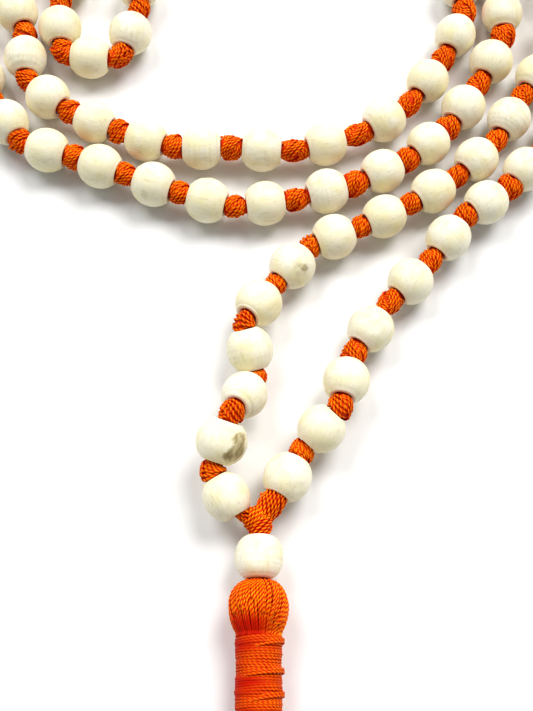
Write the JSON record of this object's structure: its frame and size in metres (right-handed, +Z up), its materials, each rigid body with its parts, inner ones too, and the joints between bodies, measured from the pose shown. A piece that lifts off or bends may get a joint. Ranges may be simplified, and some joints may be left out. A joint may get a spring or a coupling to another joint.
{
  "type": "mala prayer beads",
  "caption": "String of turned wooden prayer beads on a knotted cord, with a guru bead and a bound thread tassel, laid in a loose coil.",
  "frame": {"origin": "the middle of the laid-out object, on the table it lies on", "axes": "+Z up from the table, -Y towards the tassel, +X to the right of the tassel"},
  "size_m": [0.1615, 0.2967, 0.0143],
  "materials": {
    "wood": "bare turned wood, lightly polished",
    "thread": "twisted orange cotton thread"
  },
  "bodies": {
    "coil": {"run_outer_left": "wood", "run_outer_right": "wood", "run_inner_left": "wood", "run_inner_right": "wood", "cord_left_leg": "thread", "cord_right_leg": "thread", "cord_upper_sweep": "thread", "cord_lower_sweep": "thread"},
    "section_far": {"cord_left_far": "thread", "cord_right_far": "thread"},
    "section_near": {"cord_left_near": "thread", "cord_right_near": "thread"},
    "yoke": {"yoke_knot": "thread"},
    "guru_cord": {"guru_cord": "thread"},
    "guru_bead": {"guru_bead": "wood"},
    "tassel": {"tassel_head": "thread", "stopper_knot": "thread", "tassel_core": "thread", "tassel_binding": "thread"},
    "skirt": {"tassel_skirt": "thread"},
    "far_end": {"cord_far_end": "thread"},
    "bead_left_01": {"bead_left_01": "wood"},
    "bead_left_02": {"bead_left_02": "wood"},
    "bead_left_03": {"bead_left_03": "wood"},
    "bead_left_04": {"bead_left_04": "wood"},
    "bead_left_05": {"bead_left_05": "wood"},
    "bead_left_06": {"bead_left_06": "wood"},
    "bead_left_07": {"bead_left_07": "wood"},
    "bead_left_08": {"bead_left_08": "wood"},
    "bead_left_09": {"bead_left_09": "wood"},
    "bead_left_10": {"bead_left_10": "wood"},
    "bead_left_11": {"bead_left_11": "wood"},
    "bead_right_01": {"bead_right_01": "wood"},
    "bead_right_02": {"bead_right_02": "wood"},
    "bead_right_03": {"bead_right_03": "wood"},
    "bead_right_04": {"bead_right_04": "wood"},
    "bead_right_05": {"bead_right_05": "wood"},
    "bead_right_06": {"bead_right_06": "wood"},
    "bead_right_07": {"bead_right_07": "wood"},
    "bead_right_08": {"bead_right_08": "wood"},
    "bead_upper_01": {"bead_upper_01": "wood"},
    "bead_upper_02": {"bead_upper_02": "wood"},
    "bead_upper_03": {"bead_upper_03": "wood"},
    "bead_upper_04": {"bead_upper_04": "wood"},
    "bead_upper_05": {"bead_upper_05": "wood"},
    "bead_upper_06": {"bead_upper_06": "wood"},
    "bead_upper_07": {"bead_upper_07": "wood"},
    "bead_upper_08": {"bead_upper_08": "wood"},
    "bead_lower_01": {"bead_lower_01": "wood"},
    "bead_lower_02": {"bead_lower_02": "wood"},
    "bead_lower_03": {"bead_lower_03": "wood"},
    "bead_lower_04": {"bead_lower_04": "wood"},
    "bead_lower_05": {"bead_lower_05": "wood"},
    "bead_lower_06": {"bead_lower_06": "wood"},
    "bead_lower_07": {"bead_lower_07": "wood"},
    "bead_lower_08": {"bead_lower_08": "wood"},
    "bead_lower_09": {"bead_lower_09": "wood"},
    "bead_far_01": {"bead_far_01": "wood"},
    "bead_far_02": {"bead_far_02": "wood"},
    "bead_far_03": {"bead_far_03": "wood"}
  },
  "joints": [
    {"name": "fold_1", "type": "hinge", "parent": "section_near", "child": "yoke", "pos_m": [-0.00535, -0.0474, 0.0063], "axis": [-0.955, -0.2609, 0.1409], "range_deg": [0, 15]},
    {"name": "fold_2", "type": "hinge", "parent": "section_far", "child": "section_near", "pos_m": [0.0005, -0.0379, 0.00961], "axis": [-0.985, -0.0895, 0.1477], "range_deg": [0, 30]},
    {"name": "fold_3", "type": "hinge", "parent": "coil", "child": "section_far", "pos_m": [0.00695, -0.0156, 0.00675], "axis": [-0.9761, -0.1769, 0.1264], "range_deg": [0, 30]},
    {"name": "fold_far", "type": "hinge", "parent": "coil", "child": "far_end", "pos_m": [-0.04255, 0.0633, 0.00475], "axis": [-0.9964, 0.0844, 0], "range_deg": [0, 30]},
    {"name": "guru_swing", "type": "hinge", "parent": "yoke", "child": "guru_cord", "pos_m": [-0.005, -0.0596, 0.00566], "axis": [0, 0, 1], "range_deg": [-15, 15]},
    {"name": "skirt_sway", "type": "hinge", "parent": "tassel", "child": "skirt", "pos_m": [-0.005, -0.1079, 0.0057], "axis": [0, 0, 1], "range_deg": [-15, 15]},
    {"name": "tassel_lift", "type": "hinge", "parent": "guru_cord", "child": "tassel", "pos_m": [-0.005, -0.0767, 0.0057], "axis": [-1, 0, 0], "range_deg": [0, 30]},
    {"name": "turn_guru", "type": "hinge", "parent": "guru_cord", "child": "guru_bead", "pos_m": [-0.005, -0.06698, 0.0057], "axis": [0, -1, 0], "continuous": true},
    {"name": "turn_left_01", "type": "hinge", "parent": "yoke", "child": "bead_left_01", "pos_m": [-0.0115, -0.055, 0.00671], "axis": [-0.5006, 0.851, 0.1585], "continuous": true},
    {"name": "turn_left_02", "type": "hinge", "parent": "section_near", "child": "bead_left_02", "pos_m": [-0.0125, -0.0444, 0.00945], "axis": [0.3266, 0.8983, 0.294], "continuous": true},
    {"name": "turn_left_03", "type": "hinge", "parent": "section_far", "child": "bead_left_03", "pos_m": [-0.008, -0.0341, 0.00785], "axis": [0.3912, 0.751, -0.532], "continuous": true},
    {"name": "turn_left_04", "type": "hinge", "parent": "section_far", "child": "bead_left_04", "pos_m": [-0.007, -0.02385, 0.0066], "axis": [-0.248, 0.9012, 0.3555], "continuous": true},
    {"name": "turn_left_05", "type": "hinge", "parent": "coil", "child": "bead_left_05", "pos_m": [-0.00515, -0.0135, 0.00685], "axis": [0.5375, 0.7862, -0.3049], "continuous": true},
    {"name": "turn_left_06", "type": "hinge", "parent": "coil", "child": "bead_left_06", "pos_m": [0.00205, -0.0039, 0.00485], "axis": [0.6336, 0.7735, -0.0165], "continuous": true},
    {"name": "turn_left_07", "type": "hinge", "parent": "coil", "child": "bead_left_07", "pos_m": [0.0112, 0.003, 0.00475], "axis": [0.9236, 0.3834, 0], "continuous": true},
    {"name": "turn_left_08", "type": "hinge", "parent": "coil", "child": "bead_left_08", "pos_m": [0.02225, 0.008, 0.00475], "axis": [0.8991, 0.4378, 0], "continuous": true},
    {"name": "turn_left_09", "type": "hinge", "parent": "coil", "child": "bead_left_09", "pos_m": [0.03325, 0.0142, 0.00475], "axis": [0.8394, 0.5436, 0], "continuous": true},
    {"name": "turn_left_10", "type": "hinge", "parent": "coil", "child": "bead_left_10", "pos_m": [0.04325, 0.0221, 0.00475], "axis": [0.726, 0.6877, 0], "continuous": true},
    {"name": "turn_left_11", "type": "hinge", "parent": "coil", "child": "bead_left_11", "pos_m": [0.05125, 0.03235, 0.00475], "axis": [0.4921, 0.8706, 0], "continuous": true},
    {"name": "turn_right_01", "type": "hinge", "parent": "yoke", "child": "bead_right_01", "pos_m": [0.00075, -0.05075, 0.00526], "axis": [0.4618, 0.8858, -0.0454], "continuous": true},
    {"name": "turn_right_02", "type": "hinge", "parent": "section_near", "child": "bead_right_02", "pos_m": [0.00765, -0.0409, 0.00645], "axis": [0.6695, 0.6955, 0.2608], "continuous": true},
    {"name": "turn_right_03", "type": "hinge", "parent": "section_far", "child": "bead_right_03", "pos_m": [0.013, -0.03055, 0.00645], "axis": [0.224, 0.9485, -0.224], "continuous": true},
    {"name": "turn_right_04", "type": "hinge", "parent": "section_far", "child": "bead_right_04", "pos_m": [0.01845, -0.0185, 0.00485], "axis": [0.5695, 0.8218, -0.0144], "continuous": true},
    {"name": "turn_right_05", "type": "hinge", "parent": "coil", "child": "bead_right_05", "pos_m": [0.02735, -0.00755, 0.00475], "axis": [0.686, 0.7276, 0], "continuous": true},
    {"name": "turn_right_06", "type": "hinge", "parent": "coil", "child": "bead_right_06", "pos_m": [0.0359, 0.00265, 0.00511], "axis": [0.5872, 0.8074, 0.0571], "continuous": true},
    {"name": "turn_right_07", "type": "hinge", "parent": "coil", "child": "bead_right_07", "pos_m": [0.0447, 0.0112, 0.00511], "axis": [0.8209, 0.5683, -0.0553], "continuous": true},
    {"name": "turn_right_08", "type": "hinge", "parent": "coil", "child": "bead_right_08", "pos_m": [0.05395, 0.01955, 0.00475], "axis": [0.6488, 0.761, 0], "continuous": true},
    {"name": "turn_upper_01", "type": "hinge", "parent": "coil", "child": "bead_upper_01", "pos_m": [-0.05325, 0.0381, 0.00475], "axis": [0.7954, -0.606, 0], "continuous": true},
    {"name": "turn_upper_02", "type": "hinge", "parent": "coil", "child": "bead_upper_02", "pos_m": [-0.04225, 0.0316, 0.00475], "axis": [0.9171, -0.3987, 0], "continuous": true},
    {"name": "turn_upper_03", "type": "hinge", "parent": "coil", "child": "bead_upper_03", "pos_m": [-0.0305, 0.0271, 0.00475], "axis": [0.9487, -0.3162, 0], "continuous": true},
    {"name": "turn_upper_04", "type": "hinge", "parent": "coil", "child": "bead_upper_04", "pos_m": [-0.018, 0.0251, 0.00475], "axis": [1, 0, 0], "continuous": true},
    {"name": "turn_upper_05", "type": "hinge", "parent": "coil", "child": "bead_upper_05", "pos_m": [-0.0045, 0.0246, 0.00475], "axis": [0.9975, -0.0712, 0], "continuous": true},
    {"name": "turn_upper_06", "type": "hinge", "parent": "coil", "child": "bead_upper_06", "pos_m": [0.00975, 0.0261, 0.00475], "axis": [0.964, 0.2659, 0], "continuous": true},
    {"name": "turn_upper_07", "type": "hinge", "parent": "coil", "child": "bead_upper_07", "pos_m": [0.023, 0.0321, 0.00475], "axis": [0.8321, 0.5547, 0], "continuous": true},
    {"name": "turn_upper_08", "type": "hinge", "parent": "coil", "child": "bead_upper_08", "pos_m": [0.03325, 0.04235, 0.00475], "axis": [0.5623, 0.8269, 0], "continuous": true},
    {"name": "turn_lower_01", "type": "hinge", "parent": "coil", "child": "bead_lower_01", "pos_m": [-0.0525, 0.0244, 0.00475], "axis": [0.9578, -0.2873, 0], "continuous": true},
    {"name": "turn_lower_02", "type": "hinge", "parent": "coil", "child": "bead_lower_02", "pos_m": [-0.0405, 0.02035, 0.00475], "axis": [0.9363, -0.3511, 0], "continuous": true},
    {"name": "turn_lower_03", "type": "hinge", "parent": "coil", "child": "bead_lower_03", "pos_m": [-0.0285, 0.01585, 0.00475], "axis": [0.9363, -0.3511, 0], "continuous": true},
    {"name": "turn_lower_04", "type": "hinge", "parent": "coil", "child": "bead_lower_04", "pos_m": [-0.0165, 0.01185, 0.00475], "axis": [0.96, -0.28, 0], "continuous": true},
    {"name": "turn_lower_05", "type": "hinge", "parent": "coil", "child": "bead_lower_05", "pos_m": [-0.00375, 0.0111, 0.00475], "axis": [0.9892, 0.1465, 0], "continuous": true},
    {"name": "turn_lower_06", "type": "hinge", "parent": "coil", "child": "bead_lower_06", "pos_m": [0.00975, 0.0141, 0.00475], "axis": [0.9588, 0.2841, 0], "continuous": true},
    {"name": "turn_lower_07", "type": "hinge", "parent": "coil", "child": "bead_lower_07", "pos_m": [0.02225, 0.0191, 0.00475], "axis": [0.8866, 0.4626, 0], "continuous": true},
    {"name": "turn_lower_08", "type": "hinge", "parent": "coil", "child": "bead_lower_08", "pos_m": [0.03275, 0.02605, 0.00475], "axis": [0.7689, 0.6394, 0], "continuous": true},
    {"name": "turn_lower_09", "type": "hinge", "parent": "coil", "child": "bead_lower_09", "pos_m": [0.04115, 0.03545, 0.00475], "axis": [0.5565, 0.8309, 0], "continuous": true},
    {"name": "turn_far_01", "type": "hinge", "parent": "far_end", "child": "bead_far_01", "pos_m": [-0.0515, 0.05675, 0.00475], "axis": [0.0679, -0.9977, 0], "continuous": true},
    {"name": "turn_far_02", "type": "hinge", "parent": "far_end", "child": "bead_far_02", "pos_m": [-0.04405, 0.04865, 0.00475], "axis": [0.9942, -0.1073, 0], "continuous": true},
    {"name": "turn_far_03", "type": "hinge", "parent": "far_end", "child": "bead_far_03", "pos_m": [-0.0351, 0.0552, 0.00475], "axis": [0.2642, 0.9645, 0], "continuous": true}
  ]
}
